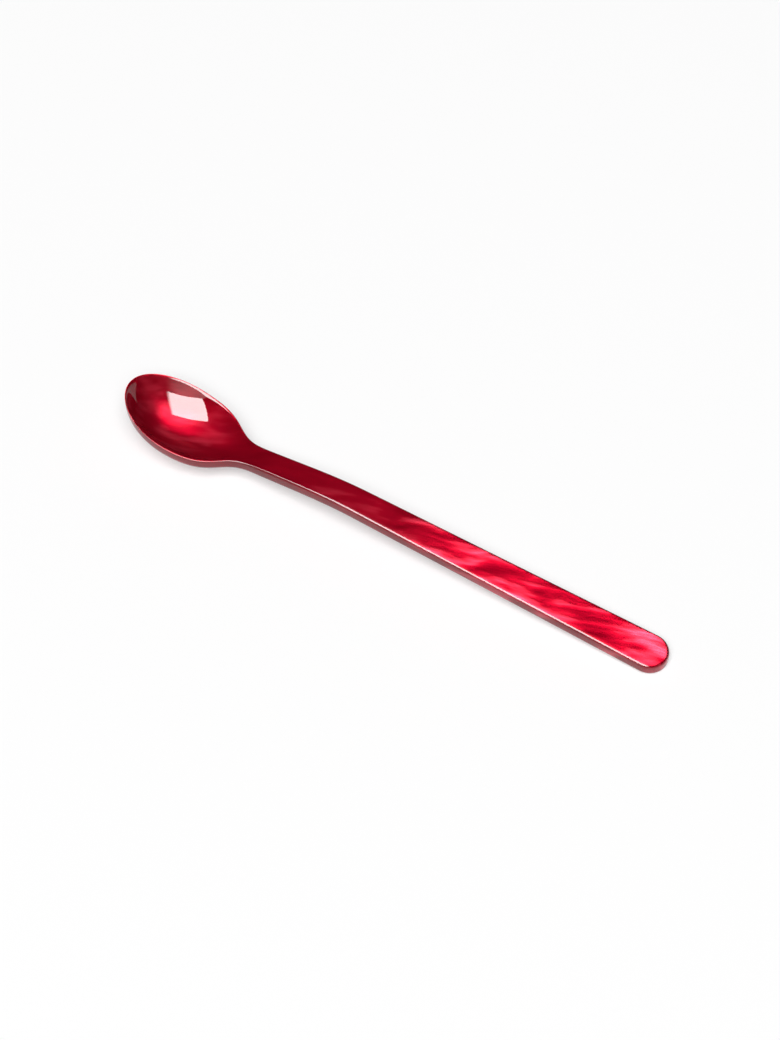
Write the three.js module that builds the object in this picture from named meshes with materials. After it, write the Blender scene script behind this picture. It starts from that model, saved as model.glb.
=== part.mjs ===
// Egg spoon: one piece of red pearl plastic, cut from flat sheet, polished round all its edges
// and pressed hot, so that one end becomes the bowl and the handle bends down to the neck.
// Millimetres, +Z up. The spoon lies on a table at z = 0 on its bowl and the end of its handle,
// with the bowl towards -X and the origin under the middle of its length.

import * as THREE from "three";
import { LoftGeometry } from "three/addons/geometries/LoftGeometry.js";
import { mergeVertices } from "three/addons/utils/BufferGeometryUtils.js";

// The sheet
const SHEET_THICKNESS = 3;
const EDGE_RADIUS = 0.7;

// The outline from above, with lengths counted from the bowl's tip
const LENGTH = 135;
const BOWL_WIDTH = 18.1;
const WIDEST_FROM_TIP = 13.5;
const SHOULDER_REACH = 13;
const NECK_REACH = 8;
const NECK_FROM_TIP = 33;
const NECK_WIDTH = 5.8;
const HANDLE_END_WIDTH = 8.8;

// The side view: the bowl is deepest where it is widest, its rim is lowest just before the neck,
// and the handle is highest at its crest
const BOWL_DEPTH = 5.8;
const BOWL_FULLNESS = 2.1;
const RUNOUT_FROM_TIP = 38;
const LOW_FROM_TIP = 28.5;
const TIP_RISE = 6;
const CREST_FROM_TIP = 59;
const CREST_HEIGHT = 8.5;

// Facets along each stretch of the outline, across the sheet and round a quarter of its edge
const TIP_STEPS = 14;
const SHOULDER_STEPS = 16;
const NECK_STEPS = 8;
const HANDLE_STEPS = 6;
const END_STEPS = 10;
const ACROSS_STEPS = 14;
const EDGE_STEPS = 3;

// How often an interval is halved when a place on the shoulder is looked up
const HALVINGS = 40;

// The colour and gloss of the plastic
const PEARL_RED = "#b3061f";
const PEARL_ROUGHNESS = 0.2;
const PEARL_METALNESS = 0.3;

const edgeRadius = Math.min(EDGE_RADIUS, SHEET_THICKNESS / 2);
const halfBowl = BOWL_WIDTH / 2;
const halfNeck = NECK_WIDTH / 2;
const halfEnd = HANDLE_END_WIDTH / 2;
const capStart = LENGTH - halfEnd;
const taper = (halfEnd - halfNeck) / (capStart - NECK_FROM_TIP);

// Half of the handle's width on its straight taper from the neck to the round end
function handleHalfWidth(x) {
  return halfNeck + taper * (x - NECK_FROM_TIP);
}

// One side of the outline: the tip's quarter ellipse, the shoulder that turns in to the neck,
// the tapered handle in two stretches, and the quarter circle of the handle's end
const tipCurve = new THREE.EllipseCurve(
  WIDEST_FROM_TIP, 0, WIDEST_FROM_TIP, halfBowl, Math.PI, Math.PI / 2, true,
);
const shoulderCurve = new THREE.CubicBezierCurve(
  new THREE.Vector2(WIDEST_FROM_TIP, halfBowl),
  new THREE.Vector2(WIDEST_FROM_TIP + SHOULDER_REACH, halfBowl),
  new THREE.Vector2(NECK_FROM_TIP - NECK_REACH, halfNeck - taper * NECK_REACH),
  new THREE.Vector2(NECK_FROM_TIP, halfNeck),
);
const neckLine = new THREE.LineCurve(
  new THREE.Vector2(NECK_FROM_TIP, halfNeck),
  new THREE.Vector2(CREST_FROM_TIP, handleHalfWidth(CREST_FROM_TIP)),
);
const handleLine = new THREE.LineCurve(
  new THREE.Vector2(CREST_FROM_TIP, handleHalfWidth(CREST_FROM_TIP)),
  new THREE.Vector2(capStart, halfEnd),
);
const endCurve = new THREE.EllipseCurve(
  capStart, 0, halfEnd, halfEnd, Math.PI / 2, 0, true,
);

// Stations along one side of the outline: a point, and the direction straight out of the edge
function outlineStations() {
  const stretches = [
    [tipCurve, TIP_STEPS],
    [shoulderCurve, SHOULDER_STEPS],
    [neckLine, NECK_STEPS],
    [handleLine, HANDLE_STEPS],
    [endCurve, END_STEPS],
  ];
  const stations = [];
  for (const [curve, steps] of stretches) {
    const first = stations.length === 0 ? 0 : 1;
    for (let i = first; i <= steps; i += 1) {
      const tangent = curve.getTangent(i / steps);
      const out = new THREE.Vector2(-tangent.y, tangent.x);
      stations.push({ point: curve.getPoint(i / steps), out });
    }
  }
  return stations;
}

// The edge's rounded profile, from the underside up to the top face: how far each point stands
// out from the outline, and how far it lies below the sheet's top face
function edgeProfile() {
  const lowerCentre = edgeRadius - SHEET_THICKNESS;
  const upperCentre = -edgeRadius;
  const profile = [];
  for (const [centre, start] of [[lowerCentre, -Math.PI / 2], [upperCentre, 0]]) {
    for (let i = 0; i <= EDGE_STEPS; i += 1) {
      const angle = start + (Math.PI / 2) * (i / EDGE_STEPS);
      profile.push({
        out: edgeRadius * (Math.cos(angle) - 1),
        z: centre + edgeRadius * Math.sin(angle),
      });
    }
  }
  return profile;
}

// One ring round the flat blank at a station: up one edge, over the top face, down the other
// edge and back along the underside. side is 1 for the edge at +Y and -1 for the one at -Y.
function blankSection({ point, out }, profile) {
  const edgePoint = (step, side) => new THREE.Vector3(
    point.x + out.x * step.out,
    side * (point.y + out.y * step.out),
    step.z,
  );
  const risingEdge = profile.map((step) => edgePoint(step, 1));
  const fallingEdge = profile.map((step) => edgePoint(step, -1)).reverse();
  const faceBetween = (from, to) => {
    const points = [];
    for (let i = 1; i < ACROSS_STEPS; i += 1) {
      points.push(from.clone().lerp(to, i / ACROSS_STEPS));
    }
    return points;
  };
  const topFace = faceBetween(risingEdge.at(-1), fallingEdge[0]);
  const underside = faceBetween(fallingEdge.at(-1), risingEdge[0]);
  return [...risingEdge, ...topFace, ...fallingEdge, ...underside];
}

// The parameter at which the shoulder reaches x, found by halving
function shoulderParameter(x) {
  let low = 0;
  let high = 1;
  for (let i = 0; i < HALVINGS; i += 1) {
    const middle = (low + high) / 2;
    if (shoulderCurve.getPoint(middle).x < x) {
      low = middle;
    } else {
      high = middle;
    }
  }
  return (low + high) / 2;
}

// Half of the outline's width at x, over the bowl and along the handle's taper
function halfWidth(x) {
  if (x < WIDEST_FROM_TIP) {
    return halfBowl * Math.sqrt(1 - (1 - x / WIDEST_FROM_TIP) ** 2);
  }
  if (x < NECK_FROM_TIP) {
    return shoulderCurve.getPoint(shoulderParameter(x)).y;
  }
  return handleHalfWidth(x);
}

// Heights of the top face above the table. The rim runs up from its low point to the tip in a
// parabola that leaves room under its widest point for the bowl's depth and the sheet. The handle
// falls straight from its crest, so that its underside meets the table where the rounding of its
// end starts. In between, the bend's control points stand at thirds of its length, so that its
// parameter grows evenly with x.
const shareAtWidest = (1 - WIDEST_FROM_TIP / LOW_FROM_TIP) ** 2;
const lowHeight = SHEET_THICKNESS + BOWL_DEPTH - TIP_RISE * shareAtWidest;
const touchdown = LENGTH - edgeRadius;
const handleFall = (CREST_HEIGHT - SHEET_THICKNESS) / (touchdown - CREST_FROM_TIP);
const bendLength = CREST_FROM_TIP - LOW_FROM_TIP;
const bendThird = bendLength / 3;
const neckBend = new THREE.CubicBezierCurve(
  new THREE.Vector2(LOW_FROM_TIP, lowHeight),
  new THREE.Vector2(LOW_FROM_TIP + bendThird, lowHeight),
  new THREE.Vector2(CREST_FROM_TIP - bendThird, CREST_HEIGHT + handleFall * bendThird),
  new THREE.Vector2(CREST_FROM_TIP, CREST_HEIGHT),
);

function topHeight(x) {
  if (x < LOW_FROM_TIP) {
    return lowHeight + TIP_RISE * (1 - x / LOW_FROM_TIP) ** 2;
  }
  if (x < CREST_FROM_TIP) {
    return neckBend.getPoint((x - LOW_FROM_TIP) / bendLength).y;
  }
  return CREST_HEIGHT - handleFall * (x - CREST_FROM_TIP);
}

// How far the press pushes the sheet down at a point: nothing along the rim and past the runout,
// and down to the table at the deepest point
function hollow(x, y) {
  if (x <= 0 || x >= RUNOUT_FROM_TIP) {
    return 0;
  }
  const towardsTip = Math.max(0, 1 - x / WIDEST_FROM_TIP) ** BOWL_FULLNESS;
  const towardsNeck = THREE.MathUtils.smoothstep(x, WIDEST_FROM_TIP, RUNOUT_FROM_TIP);
  const across = Math.min(1, Math.abs(y) / halfWidth(x)) ** BOWL_FULLNESS;
  const room = topHeight(x) - SHEET_THICKNESS;
  return room * (1 - towardsTip) * (1 - towardsNeck) * (1 - across);
}

// Bends and presses the flat blank: every point keeps its place seen from above
function formBlank(geometry) {
  const position = geometry.getAttribute("position");
  for (let i = 0; i < position.count; i += 1) {
    const x = position.getX(i);
    const y = position.getY(i);
    position.setZ(i, position.getZ(i) + topHeight(x) - hollow(x, y));
  }
}

// Joins the points that rings share at the two ends, and drops the triangles that closed up there
function sewn(geometry) {
  const loose = new THREE.BufferGeometry();
  loose.setAttribute("position", geometry.getAttribute("position"));
  loose.setIndex(geometry.getIndex());
  const merged = mergeVertices(loose);
  const corners = merged.getIndex().array;
  const kept = [];
  for (let i = 0; i < corners.length; i += 3) {
    const [a, b, c] = corners.slice(i, i + 3);
    if (a !== b && b !== c && c !== a) {
      kept.push(a, b, c);
    }
  }
  merged.setIndex(kept);
  return merged;
}

function spoonGeometry() {
  const profile = edgeProfile();
  const sections = outlineStations().map((station) => blankSection(station, profile));
  const blank = sewn(new LoftGeometry(sections));
  formBlank(blank);
  blank.computeVertexNormals();
  return blank;
}

const pearlPlastic = new THREE.MeshStandardMaterial({
  color: PEARL_RED,
  roughness: PEARL_ROUGHNESS,
  metalness: PEARL_METALNESS,
});

const spoon = new THREE.Mesh(spoonGeometry(), pearlPlastic);
spoon.name = "spoon";
spoon.position.x = -LENGTH / 2;

const eggSpoon = new THREE.Group();
eggSpoon.add(spoon);

export default eggSpoon;
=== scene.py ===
# %% [markdown]
# # An egg spoon pressed from pearl sheet
# The real spoon is one piece of red pearl acrylic, without a seam or a joint. A workshop cuts its
# outline from flat sheet, rounds and polishes the edge, then warms it, bends the handle and presses
# the bowl. This lesson models it in that order, so that each Blender step stands for one step at
# the bench.

# %% Load the frame
from math import cos, pi, radians, sin, sqrt

import bmesh
import bpy
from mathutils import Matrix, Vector


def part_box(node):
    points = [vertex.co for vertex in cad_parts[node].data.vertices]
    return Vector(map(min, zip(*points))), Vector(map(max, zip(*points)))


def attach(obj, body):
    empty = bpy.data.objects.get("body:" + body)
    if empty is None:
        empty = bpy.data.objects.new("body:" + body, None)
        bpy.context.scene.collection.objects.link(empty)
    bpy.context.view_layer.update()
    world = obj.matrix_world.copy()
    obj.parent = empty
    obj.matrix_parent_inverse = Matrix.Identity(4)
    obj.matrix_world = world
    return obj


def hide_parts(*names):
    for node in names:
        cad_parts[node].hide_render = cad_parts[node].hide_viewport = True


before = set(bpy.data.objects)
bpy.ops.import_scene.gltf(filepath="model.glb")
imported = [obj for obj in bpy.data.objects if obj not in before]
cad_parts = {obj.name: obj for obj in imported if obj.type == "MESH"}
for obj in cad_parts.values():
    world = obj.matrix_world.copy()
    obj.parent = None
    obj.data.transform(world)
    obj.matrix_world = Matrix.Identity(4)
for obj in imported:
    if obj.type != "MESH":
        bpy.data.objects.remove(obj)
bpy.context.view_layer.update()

# %% [markdown]
# ## Measures
# The length and the width of the bowl are read from the frame. The other sizes are those of the
# part itself, in metres, and lengths along the spoon are counted from the tip of the bowl.

# %% Measures of the spoon
MM = 0.001
low_corner, high_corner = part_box("spoon")
length = high_corner.x - low_corner.x
half_bowl = (high_corner.y - low_corner.y) / 2
tip_x = low_corner.x

sheet = 3 * MM
edge_radius = 0.7 * MM
widest_from_tip = 13.5 * MM
shoulder_reach = 13 * MM
neck_reach = 8 * MM
neck_from_tip = 33 * MM
half_neck = 5.8 * MM / 2
half_end = 8.8 * MM / 2
bowl_depth = 5.8 * MM
bowl_fullness = 2.1
runout_from_tip = 38 * MM
low_from_tip = 28.5 * MM
tip_rise = 6 * MM
crest_from_tip = 59 * MM
crest_height = 8.5 * MM

cap_start = length - half_end
taper = (half_end - half_neck) / (cap_start - neck_from_tip)
print(f"spoon {length / MM:.1f} mm long, bowl {2 * half_bowl / MM:.1f} mm wide")

# %% [markdown]
# ## The camera
# The camera stands as it did for the photograph: a little to the right of the spoon's near side and
# about 55 degrees up, with a long lens. It aims beside the middle of the spoon, so that the spoon
# sits in the picture as it does there.

# %% Place the camera
IMAGE_HEIGHT = 1040
CAMERA_AZIMUTH = 29.55
CAMERA_ELEVATION = 55.09
CAMERA_DISTANCE = 0.7694
FOCAL_PIXELS = 3515.5
SENSOR = 36
CLIP_START = 0.01
aim_height = 4 * MM
aim_left = 0.6 * MM
aim_above = 1.7 * MM


def direction(azimuth, elevation):
    """A unit vector from the spoon: azimuth 0 is the side at -Y, and 90 the handle's end."""
    a, e = radians(azimuth), radians(elevation)
    return Vector((sin(a) * cos(e), -cos(a) * cos(e), sin(e)))


to_camera = direction(CAMERA_AZIMUTH, CAMERA_ELEVATION)
camera_right = Vector((cos(radians(CAMERA_AZIMUTH)), sin(radians(CAMERA_AZIMUTH)), 0))
camera_up = to_camera.cross(camera_right)
middle = Vector((0, 0, aim_height))
camera_place = middle + CAMERA_DISTANCE * to_camera
aim = middle - aim_left * camera_right + aim_above * camera_up

bpy.ops.object.select_all(action="DESELECT")
bpy.ops.object.camera_add(location=camera_place)
camera = bpy.context.object
camera.rotation_euler = (aim - camera_place).to_track_quat("-Z", "Y").to_euler()
camera.data.sensor_width = SENSOR
camera.data.lens = FOCAL_PIXELS / IMAGE_HEIGHT * SENSOR
camera.data.clip_start = CLIP_START
bpy.context.scene.camera = camera
print(f"camera: lens {camera.data.lens:.1f} mm at {CAMERA_DISTANCE:.2f} m")

# %% [markdown]
# ## Cut the outline
# On the bench this is a template and a saw. A mesh could be traced point by point, but a Bezier
# outline needs only a handful of points: the tip, the widest place, the neck, the crest of the
# handle, its middle and the start of its round end, on both sides. A Bezier circle subdivided
# twice has just that many points, so they are moved into place.

# %% Draw the outline as a curve
QUARTER_ARC = 4 / 3 * (sqrt(2) - 1)
CUTS_PER_QUARTER = 2
STEPS_PER_STRETCH = 16


def handle_half_width(x):
    return half_neck + taper * (x - neck_from_tip)


def outline_half():
    """Points from the tip to the end at +Y, each as (handle before, point, handle after)."""
    handle_middle = (crest_from_tip + cap_start) / 2
    line = [neck_from_tip, crest_from_tip, handle_middle, cap_start]
    thirds = [(b - a) / 3 for a, b in zip(line, line[1:])]

    def on_taper(x):
        return (x, handle_half_width(x))

    before_tip, after_tip = (0, -QUARTER_ARC * half_bowl), (0, QUARTER_ARC * half_bowl)
    before_widest = (widest_from_tip * (1 - QUARTER_ARC), half_bowl)
    after_widest = (widest_from_tip + shoulder_reach, half_bowl)
    after_cap = (cap_start + QUARTER_ARC * half_end, half_end)
    before_end, after_end = (length, QUARTER_ARC * half_end), (length, -QUARTER_ARC * half_end)
    return [
        (before_tip, (0, 0), after_tip),
        (before_widest, (widest_from_tip, half_bowl), after_widest),
        (on_taper(line[0] - neck_reach), on_taper(line[0]), on_taper(line[0] + thirds[0])),
        (on_taper(line[1] - thirds[0]), on_taper(line[1]), on_taper(line[1] + thirds[1])),
        (on_taper(line[2] - thirds[1]), on_taper(line[2]), on_taper(line[2] + thirds[2])),
        (on_taper(line[3] - thirds[2]), on_taper(line[3]), after_cap),
        (before_end, (length, 0), after_end),
    ]


def mirrored(knot):
    before, point, after = knot
    return tuple((x, -y) for x, y in (after, point, before))


far_side = outline_half()
near_side = [mirrored(knot) for knot in reversed(far_side[1:-1])]

bpy.ops.curve.primitive_bezier_circle_add(radius=length / 2)
outline = bpy.context.object
bpy.ops.object.mode_set(mode="EDIT")
bpy.ops.curve.select_all(action="SELECT")
bpy.ops.curve.subdivide(number_cuts=CUTS_PER_QUARTER)
bpy.ops.object.mode_set(mode="OBJECT")
outline.data.resolution_u = STEPS_PER_STRETCH
for knot, (before, point, after) in zip(outline.data.splines[0].bezier_points, far_side + near_side):
    knot.handle_left_type = knot.handle_right_type = "FREE"
    knot.co = (tip_x + point[0], point[1], 0)
    knot.handle_left = (tip_x + before[0], before[1], 0)
    knot.handle_right = (tip_x + after[0], after[1], 0)
print("outline knots:", len(outline.data.splines[0].bezier_points))

# %% [markdown]
# ## Fill the sheet
# Filling the outline with one large face would bend badly later. Instead the face is inset once, to
# leave an even band along the edge for the rounding, and Grid Fill closes the rest with rows that
# run along the spoon. Its corners sit half-way round the tip and the end.

# %% Fill the outline with rows of faces
EDGE_BAND = 1.25 * MM
WELD_DISTANCE = 0.01 * MM
HALF_WAY_ROUND = pi / 4
ROWS_ACROSS = STEPS_PER_STRETCH

bpy.ops.object.convert(target="MESH")
blank = bpy.context.object
blank.name = "pearl_spoon"
bpy.ops.object.mode_set(mode="EDIT")
bpy.ops.mesh.select_mode(type="VERT")
bpy.ops.mesh.select_all(action="SELECT")
bpy.ops.mesh.remove_doubles(threshold=WELD_DISTANCE)
bpy.ops.mesh.edge_face_add()
bpy.ops.mesh.inset(thickness=EDGE_BAND)
mesh_in_edit = bmesh.from_edit_mesh(blank.data)
inner_loop = [v.index for v in mesh_in_edit.verts if v.select]
bpy.ops.mesh.delete(type="ONLY_FACE")

mesh_in_edit = bmesh.from_edit_mesh(blank.data)
mesh_in_edit.verts.ensure_lookup_table()
inner_points = [mesh_in_edit.verts[i] for i in inner_loop]
for point in inner_points:
    point.select = True
mesh_in_edit.select_flush(True)
corner_place = Vector((
    tip_x + widest_from_tip - (widest_from_tip - EDGE_BAND) * cos(HALF_WAY_ROUND),
    (half_bowl - EDGE_BAND) * sin(HALF_WAY_ROUND),
    0,
))
mesh_in_edit.select_history.add(min(inner_points, key=lambda v: (v.co - corner_place).length))
bpy.ops.mesh.fill_grid(span=ROWS_ACROSS)
bpy.ops.object.mode_set(mode="OBJECT")
print("flat sheet:", len(blank.data.polygons), "faces, inner loop of", len(inner_loop))

# %% [markdown]
# ## Give it thickness and round the edge
# Solidify turns the face into sheet of even thickness below it, and Bevel files the square edges
# round. Modifiers do both in one go and are applied straight away, because the next steps move the
# finished points.

# %% Thicken the sheet and round its edges
EDGE_SEGMENTS = 5
SQUARE_EDGE = radians(60)


def apply_modifier(kind, **settings):
    bpy.ops.object.modifier_add(type=kind)
    modifier = bpy.context.object.modifiers[-1]
    for name, value in settings.items():
        setattr(modifier, name, value)
    bpy.ops.object.modifier_apply(modifier=modifier.name)


apply_modifier("SOLIDIFY", thickness=sheet, offset=-1)
apply_modifier(
    "BEVEL",
    width=edge_radius,
    segments=EDGE_SEGMENTS,
    limit_method="ANGLE",
    angle_limit=SQUARE_EDGE,
    use_clamp_overlap=False,
)
print("blank with round edges:", len(blank.data.polygons), "faces")

# %% [markdown]
# ## Bend the handle and press the bowl
# The warm sheet is laid over a former that gives the side view, and a round stamp pushes the bowl
# down into it. The same two moves are made with Displace modifiers: one lifts every point to the
# height of the former, the other pushes it down under the stamp, and a vertex group says how far
# each point goes. The bent handle could be made with a curve or a lattice, but weights from a
# formula keep the surface as smooth as polished plastic.

# %% Heights of the former and depth of the stamp
HALVINGS = 40

share_at_widest = (1 - widest_from_tip / low_from_tip) ** 2
low_height = sheet + bowl_depth - tip_rise * share_at_widest
touchdown = length - edge_radius
handle_fall = (crest_height - sheet) / (touchdown - crest_from_tip)
bend_length = crest_from_tip - low_from_tip


def bezier(a, b, c, d, t):
    s = 1 - t
    return a * s**3 + 3 * b * s * s * t + 3 * c * s * t * t + d * t**3


def former_height(x):
    """Height of the sheet's upper face over the table before the bowl is pressed."""
    if x < low_from_tip:
        return low_height + tip_rise * (1 - x / low_from_tip) ** 2
    if x < crest_from_tip:
        before_crest = crest_height + handle_fall * bend_length / 3
        t = (x - low_from_tip) / bend_length
        return bezier(low_height, low_height, before_crest, crest_height, t)
    return crest_height - handle_fall * (x - crest_from_tip)


def half_width(x):
    """Half of the outline's width over the bowl and the neck."""
    if x < widest_from_tip:
        return half_bowl * sqrt(1 - (1 - x / widest_from_tip) ** 2)
    if x > neck_from_tip:
        return handle_half_width(x)
    shoulder_places = (
        widest_from_tip,
        widest_from_tip + shoulder_reach,
        neck_from_tip - neck_reach,
        neck_from_tip,
    )
    below, above = 0.0, 1.0
    for _ in range(HALVINGS):
        t = (below + above) / 2
        if bezier(*shoulder_places, t) < x:
            below = t
        else:
            above = t
    return bezier(half_bowl, half_bowl, handle_half_width(neck_from_tip - neck_reach), half_neck, t)


def stamp_depth(x, y):
    """How far the stamp pushes the sheet down."""
    if x <= 0 or x >= runout_from_tip:
        return 0
    towards_tip = max(0, 1 - x / widest_from_tip) ** bowl_fullness
    t = min(1, max(0, (x - widest_from_tip) / (runout_from_tip - widest_from_tip)))
    towards_neck = t * t * (3 - 2 * t)
    across = min(1, abs(y) / half_width(x)) ** bowl_fullness
    return (former_height(x) - sheet) * (1 - towards_tip) * (1 - towards_neck) * (1 - across)


highest = former_height(0)
print(f"tip {highest / MM:.2f} mm up, crest {crest_height / MM:.2f} mm, handle falls {handle_fall:.4f}")

# %% Bend and press the sheet
def weigh(piece, group_name, share):
    """Fills a vertex group with share(x, y), where x is counted from the tip."""
    bpy.ops.object.vertex_group_add()
    group = piece.vertex_groups[-1]
    group.name = group_name
    for vertex in piece.data.vertices:
        group.add([vertex.index], share(vertex.co.x - tip_x, vertex.co.y), "REPLACE")


weigh(blank, "former", lambda x, y: former_height(x) / highest)
weigh(blank, "stamp", lambda x, y: stamp_depth(x, y) / highest)
apply_modifier("DISPLACE", vertex_group="former", direction="Z", mid_level=0, strength=highest)
apply_modifier("DISPLACE", vertex_group="stamp", direction="Z", mid_level=0, strength=-highest)
bpy.ops.object.vertex_group_remove(all=True)
print("bent and pressed, in mm:", [round(size / MM, 2) for size in blank.dimensions])

# %% [markdown]
# ## Polish
# Buffing takes off the last facets. One level of Subdivision Surface does the same for the mesh,
# and smooth shading lets reflections run over the rim without a break.

# %% Smooth the surface
apply_modifier("SUBSURF", levels=1, render_levels=1)
bpy.ops.object.shade_smooth()
spoon = bpy.context.object
print("spoon:", len(spoon.data.polygons), "faces")

# %% [markdown]
# ## Pearl acrylic
# The material is cast acrylic sheet with pearl essence: fine flakes float in clear red resin and
# settle in strokes and swirls, so some places throw the light back and others stay deep. The resin
# acts like a red plastic, the flakes like a soft red metal, and the polished surface above them like
# a clear coat. The flakes lie aslant in the sheet, so their sheen shows beside the mirror image in
# the polish. Painting the strokes as plain colour would look printed, so they steer the share of
# flakes, the colour and the tilt together, and the coat on top stays smooth.

# %% Helpers for materials
def linear(hex_colour):
    """A colour written as sRGB hex, in the linear values that sockets take."""
    channels = [int(hex_colour[i:i + 2], 16) / 255 for i in (1, 3, 5)]
    return [c / 12.92 if c <= 0.04045 else ((c + 0.055) / 1.055) ** 2.4 for c in channels] + [1]


def node(tree, kind, settings=None, inputs=None, stops=()):
    """Adds a node. An input is a value, or an output socket to link from. Stops fill a ramp."""
    made = tree.nodes.new(kind)
    for name, value in (settings or {}).items():
        setattr(made, name, value)
    for name, value in (inputs or {}).items():
        if isinstance(value, bpy.types.NodeSocket):
            tree.links.new(value, made.inputs[name])
        else:
            made.inputs[name].default_value = value
    if stops:
        elements = made.color_ramp.elements
        while len(elements) < len(stops):
            elements.new(1)
        for element, (position, colour) in zip(elements, stops):
            element.position = position
            element.color = colour
    return made


def new_material(name):
    """An empty node material."""
    material = bpy.data.materials.new(name)
    material.use_nodes = True
    material.node_tree.nodes.clear()
    return material


print("mid grey in linear values:", round(linear("#808080")[0], 3))

# %% Strokes of pearl
# Noise stretched along a slanted line draws the strokes, finer noise draws bristle marks over them,
# and a slow swirl bends both. The shift picks the stretch of sheet that the spoon is cut from.
STROKE_LENGTH = 12 * MM
STROKE_WIDTH = 3 * MM
STROKE_ANGLE = 17
STROKE_SHIFT = (95 * MM, 77 * MM, 67 * MM)
BRISTLE_LENGTH = 5 * MM
BRISTLE_WIDTH = 1.1 * MM
BRISTLE_SHARE = 0.22
SWIRL_SIZE = 14 * MM
SWIRL_REACH = 3.5 * MM
NOISE_DETAIL = 1


def pearl_strokes(tree, place):
    """A value around one half, high where flakes lie thick and low where the resin is clear."""
    swirl = node(
        tree,
        "ShaderNodeTexNoise",
        inputs={"Vector": place, "Scale": 1 / SWIRL_SIZE, "Detail": NOISE_DETAIL},
    )
    pull = node(
        tree,
        "ShaderNodeVectorMath",
        {"operation": "MULTIPLY_ADD"},
        {0: swirl.outputs["Color"], 1: [SWIRL_REACH] * 3, 2: [-SWIRL_REACH / 2] * 3},
    )
    drawn = node(tree, "ShaderNodeVectorMath", {"operation": "ADD"}, {0: place, 1: pull.outputs[0]})
    marks = []
    for mark_length, mark_width in ((STROKE_LENGTH, STROKE_WIDTH), (BRISTLE_LENGTH, BRISTLE_WIDTH)):
        laid = node(
            tree,
            "ShaderNodeMapping",
            {"vector_type": "TEXTURE"},
            {
                "Vector": drawn.outputs[0],
                "Location": STROKE_SHIFT,
                "Rotation": (0, 0, radians(STROKE_ANGLE)),
                "Scale": (mark_length, mark_width, mark_width),
            },
        )
        mark = node(
            tree,
            "ShaderNodeTexNoise",
            inputs={"Vector": laid.outputs[0], "Scale": 1, "Detail": NOISE_DETAIL},
        )
        marks.append(mark.outputs["Fac"])
    both = node(tree, "ShaderNodeMix", inputs={"Factor": BRISTLE_SHARE, "A": marks[0], "B": marks[1]})
    return both.outputs[0]


print(f"strokes {STROKE_LENGTH / MM:.0f} x {STROKE_WIDTH / MM:.0f} mm at {STROKE_ANGLE} degrees")

# %% How the pearl changes along the spoon
# Pairs are (place along the spoon from tip 0 to end 1, value). The strokes are calm in the bowl and
# the neck and lively on the outer handle; the calm tone dips at the neck as painted shade.
CALM_SHARE = 0.4
LIVELY_FROM_TIP = 80 * MM
CALM_TONES_WITH_NECK_SHADE = ((0, 0.52), (0.14, 0.51), (0.25, 0.32), (0.4, 0.46), (0.5, 0.5))
FLAKE_SHARES = (
    (0, 0.48),
    (0.14, 0.53),
    (0.23, 0.01),
    (0.4, 0.02),
    (0.5, 0.06),
    (0.64, 0.46),
    (1, 0.5),
)


def grey_stops(pairs):
    return [(position, [value] * 3 + [1]) for position, value in pairs]


def pearl_along(tree, place):
    """The strokes, calm with painted shade at the neck, and the share of flakes at each place."""
    along = node(
        tree,
        "ShaderNodeMapRange",
        inputs={
            "Value": node(tree, "ShaderNodeSeparateXYZ", inputs={0: place}).outputs["X"],
            "From Min": tip_x,
            "From Max": tip_x + length,
        },
    ).outputs[0]
    calm = node(
        tree,
        "ShaderNodeMapRange",
        {"interpolation_type": "SMOOTHSTEP"},
        {
            "Value": along,
            "From Min": crest_from_tip / length,
            "From Max": LIVELY_FROM_TIP / length,
            "To Min": CALM_SHARE,
        },
    )
    # The calm tone is darker at the neck: painted shade.
    calm_tone_and_shade = node(tree, "ShaderNodeValToRGB", inputs={"Fac": along}, stops=grey_stops(CALM_TONES_WITH_NECK_SHADE))
    share = node(tree, "ShaderNodeValToRGB", inputs={"Fac": along}, stops=grey_stops(FLAKE_SHARES))
    calm_tone_and_shade.color_ramp.interpolation = share.color_ramp.interpolation = "EASE"
    pearl = node(
        tree,
        "ShaderNodeMix",
        inputs={
            "Factor": calm.outputs[0],
            "A": calm_tone_and_shade.outputs["Color"],
            "B": pearl_strokes(tree, place),
        },
    )
    return pearl.outputs[0], share.outputs["Color"]


print(f"strokes are calm up to {crest_from_tip / MM:.0f} mm and full from {LIVELY_FROM_TIP / MM:.0f} mm")

# %% Pearl acrylic: deep red with a sheen that moves, under a mirror polish
# The eye gets three things: a dark clear red, pale strokes that light up as the spoon is turned, and
# sharp reflections on top. The resin has no gloss of its own, because the polish carries it.
PEARL_COLOURS = ((0.3, "#66000f"), (0.5, "#7e0417"), (0.7, "#b22d3f"))
STROKE_CONTRAST = (0.4, 1.7)
FLAKE_LEAN = (0, -0.42, 0)
FLAKE_TILT = 0.5 * MM
FLAKE_TILT_SHARE = 0.5
FLAKE_ROUGHNESS = 0.36
POLISH_ROUGHNESS = 0.02
ACRYLIC_IOR = 1.5


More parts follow.
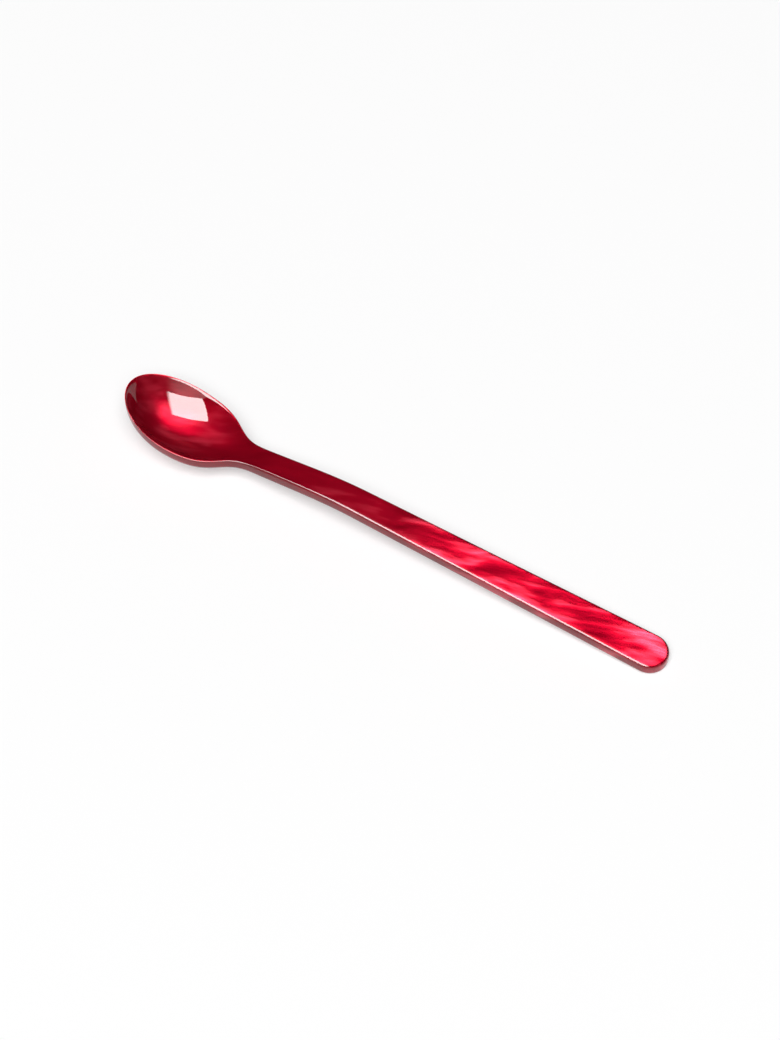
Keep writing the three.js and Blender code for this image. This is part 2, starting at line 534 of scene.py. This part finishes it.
def pearl_acrylic():
    material = new_material("pearl_acrylic")
    tree = material.node_tree
    place = node(tree, "ShaderNodeTexCoord").outputs["Object"]
    pearl, share = pearl_along(tree, place)
    colour = node(
        tree,
        "ShaderNodeValToRGB",
        inputs={"Fac": pearl},
        stops=[(position, linear(shade)) for position, shade in PEARL_COLOURS],
    )
    stroke = node(
        tree,
        "ShaderNodeMapRange",
        inputs={
            "Value": pearl,
            "From Min": PEARL_COLOURS[0][0],
            "From Max": PEARL_COLOURS[-1][0],
            "To Min": STROKE_CONTRAST[0],
            "To Max": STROKE_CONTRAST[1],
        },
    )
    flakes = node(tree, "ShaderNodeMath", {"operation": "MULTIPLY"}, {0: share, 1: stroke.outputs[0]})

    outward = node(tree, "ShaderNodeNewGeometry").outputs["Normal"]
    aslant = node(tree, "ShaderNodeVectorMath", {"operation": "ADD"}, {0: outward, 1: FLAKE_LEAN})
    lean = node(tree, "ShaderNodeVectorMath", {"operation": "NORMALIZE"}, {0: aslant.outputs[0]})
    tilt = node(
        tree,
        "ShaderNodeBump",
        inputs={
            "Height": pearl,
            "Strength": FLAKE_TILT_SHARE,
            "Distance": FLAKE_TILT,
            "Normal": lean.outputs[0],
        },
    )
    shader = node(
        tree,
        "ShaderNodeBsdfPrincipled",
        inputs={
            "Base Color": colour.outputs["Color"],
            "Metallic": flakes.outputs[0],
            "Roughness": FLAKE_ROUGHNESS,
            "Specular IOR Level": 0,
            "Normal": tilt.outputs["Normal"],
            "Coat Weight": 1,
            "Coat Roughness": POLISH_ROUGHNESS,
            "Coat IOR": ACRYLIC_IOR,
        },
    )
    node(tree, "ShaderNodeOutputMaterial", inputs={"Surface": shader.outputs["BSDF"]})
    return material


spoon.data.materials.clear()
spoon.data.materials.append(pearl_acrylic())
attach(spoon, "root")
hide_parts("spoon")
print("material:", spoon.data.materials[0].name)

# %% [markdown]
# ## The table
# The spoon lies on white paper. A plain white plane would do, but lamps never light it evenly. The
# camera sees the paper partly as plain white and partly as a lit surface, which keeps the background
# even and still lets the soft shadow show.

# %% White paper: matt and nearly white, so the eye sees only the shadow on it
PAPER_SIZE = 4
PAPER_WHITE = "#f8f8f8"
PLAIN_SHARE = 0.4
PLAIN_WHITE = 1

bpy.ops.object.select_all(action="DESELECT")
bpy.ops.mesh.primitive_plane_add(size=PAPER_SIZE)
paper = bpy.context.object
paper.name = "paper"


def white_paper():
    material = new_material("white_paper")
    tree = material.node_tree
    rays = node(tree, "ShaderNodeLightPath").outputs
    seen = rays["Is Camera Ray"]
    for kind in ("Is Glossy Ray", "Is Transmission Ray"):
        either = node(tree, "ShaderNodeMath", {"operation": "MAXIMUM"}, {0: seen, 1: rays[kind]})
        seen = either.outputs[0]
    share = node(tree, "ShaderNodeMath", {"operation": "MULTIPLY"}, {0: seen, 1: PLAIN_SHARE})
    lit = node(tree, "ShaderNodeBsdfDiffuse", inputs={"Color": linear(PAPER_WHITE)})
    plain = node(tree, "ShaderNodeEmission", inputs={"Strength": PLAIN_WHITE})
    mix = node(
        tree,
        "ShaderNodeMixShader",
        inputs={0: share.outputs[0], 1: lit.outputs[0], 2: plain.outputs[0]},
    )
    node(tree, "ShaderNodeOutputMaterial", inputs={"Surface": mix.outputs[0]})
    return material


paper.data.materials.append(white_paper())
print("paper:", PAPER_SIZE, "m")

# %% [markdown]
# ## Studio light
# Polished plastic shows its lamps, so each lamp has one job. A bright window card stands in front
# and mirrors as the pale four-sided patch in the bowl, and the pearl answers it with its red sheen.
# A dim sill card below it softens the step from the window to the dark room. Lamps could do this
# too, but a card can have any four corners, and only reflections see it.

# %% Window card and sill card
# A corner is (azimuth, elevation) in degrees as seen from the spoon.
STUDIO_REACH = 1.0
WINDOW_CORNERS = ((40, 23), (-16, 28), (-59, 50), (58, 73))
WINDOW_RADIANCE = 18
WINDOW_SOFT_EDGE = 0.2
SILL_CORNERS = ((40, 6), (-40, 8), (-16, 28), (40, 23))
SILL_RADIANCE = 1.8
SILL_SOFT_EDGE = 0.6
ROUND_THE_PLANE = (0, 1, 3, 2)


def card(name, corners, radiance, soft_edge):
    """A four-sided sheet of light that rises softly from the side of its first and last corner."""
    bpy.ops.object.select_all(action="DESELECT")
    bpy.ops.mesh.primitive_plane_add()
    sheet_of_light = bpy.context.object
    sheet_of_light.name = name
    for vertex, corner in zip(ROUND_THE_PLANE, corners):
        sheet_of_light.data.vertices[vertex].co = middle + STUDIO_REACH * direction(*corner)
    material = new_material(name + "_light")
    tree = material.node_tree
    spot = node(tree, "ShaderNodeTexCoord").outputs["UV"]
    rise = node(
        tree,
        "ShaderNodeMapRange",
        {"interpolation_type": "SMOOTHSTEP"},
        {
            "Value": node(tree, "ShaderNodeSeparateXYZ", inputs={0: spot}).outputs["X"],
            "From Max": soft_edge,
            "To Max": radiance,
        },
    )
    light = node(tree, "ShaderNodeEmission", inputs={"Strength": rise.outputs[0]})
    node(tree, "ShaderNodeOutputMaterial", inputs={"Surface": light.outputs[0]})
    sheet_of_light.data.materials.append(material)
    sheet_of_light.visible_diffuse = False
    sheet_of_light.visible_shadow = False
    return sheet_of_light


window = card("window_card", WINDOW_CORNERS, WINDOW_RADIANCE, WINDOW_SOFT_EDGE)
sill = card("sill_card", SILL_CORNERS, SILL_RADIANCE, SILL_SOFT_EDGE)
print("cards:", window.name, sill.name)

# %% [markdown]
# ## Softboxes and the room
# A soft glow overhead, bright in the middle and fading to its edges, lightens the rims. A large
# softbox above the camera lights the paper and the body of the red, and is hidden from the mirror of
# the polish. It hangs far off, so that the paper is lit evenly. The room around them is dark, so
# that the red stays deep.

# %% Glow and top softbox
# A place is (azimuth, elevation) in degrees, and a size is (width, height) in metres.
GLOW_PLACE = (20, 75)
GLOW_SIZE = (1.3, 2.0)
GLOW_RADIANCE = 1
TOP_PLACE = (20, 65)
TOP_REACH = 6.0
TOP_SIZE = (4.2, 4.2)
TOP_RADIANCE = 8.5


def softbox(name, place, reach, size, radiance):
    """A rectangular lamp that faces the spoon. Its power follows from its radiance and area."""
    location = middle + reach * direction(*place)
    bpy.ops.object.light_add(type="AREA", location=location)
    lamp = bpy.context.object
    lamp.name = name
    lamp.rotation_euler = (middle - location).to_track_quat("-Z", "Y").to_euler()
    lamp.data.shape = "RECTANGLE"
    lamp.data.size, lamp.data.size_y = size
    lamp.data.energy = radiance * pi * size[0] * size[1]
    return lamp


glow = softbox("glow_softbox", GLOW_PLACE, STUDIO_REACH, GLOW_SIZE, GLOW_RADIANCE)
glow.visible_diffuse = False
glow.data.use_nodes = True
glow_tree = glow.data.node_tree
from_its_middle = node(
    glow_tree,
    "ShaderNodeMapping",
    inputs={
        "Vector": node(glow_tree, "ShaderNodeNewGeometry").outputs["Parametric"],
        "Location": (-1, -1, 0),
        "Scale": (2, 2, 0),
    },
)
fade = node(
    glow_tree,
    "ShaderNodeTexGradient",
    {"gradient_type": "SPHERICAL"},
    {"Vector": from_its_middle.outputs[0]},
)
glow_tree.links.new(fade.outputs["Fac"], glow_tree.nodes["Emission"].inputs["Strength"])

top = softbox("top_softbox", TOP_PLACE, TOP_REACH, TOP_SIZE, TOP_RADIANCE)
top.visible_glossy = False
print("softboxes:", glow.name, top.name)

# %% Dark room and plain view
ROOM_GREY = "#141414"

scene = bpy.context.scene
scene.world = bpy.data.worlds.new("dark_room")
scene.world.use_nodes = True
background = scene.world.node_tree.nodes["Background"]
background.inputs["Color"].default_value = linear(ROOM_GREY)
scene.view_settings.view_transform = "Standard"
print("room:", scene.world.name, ROOM_GREY)
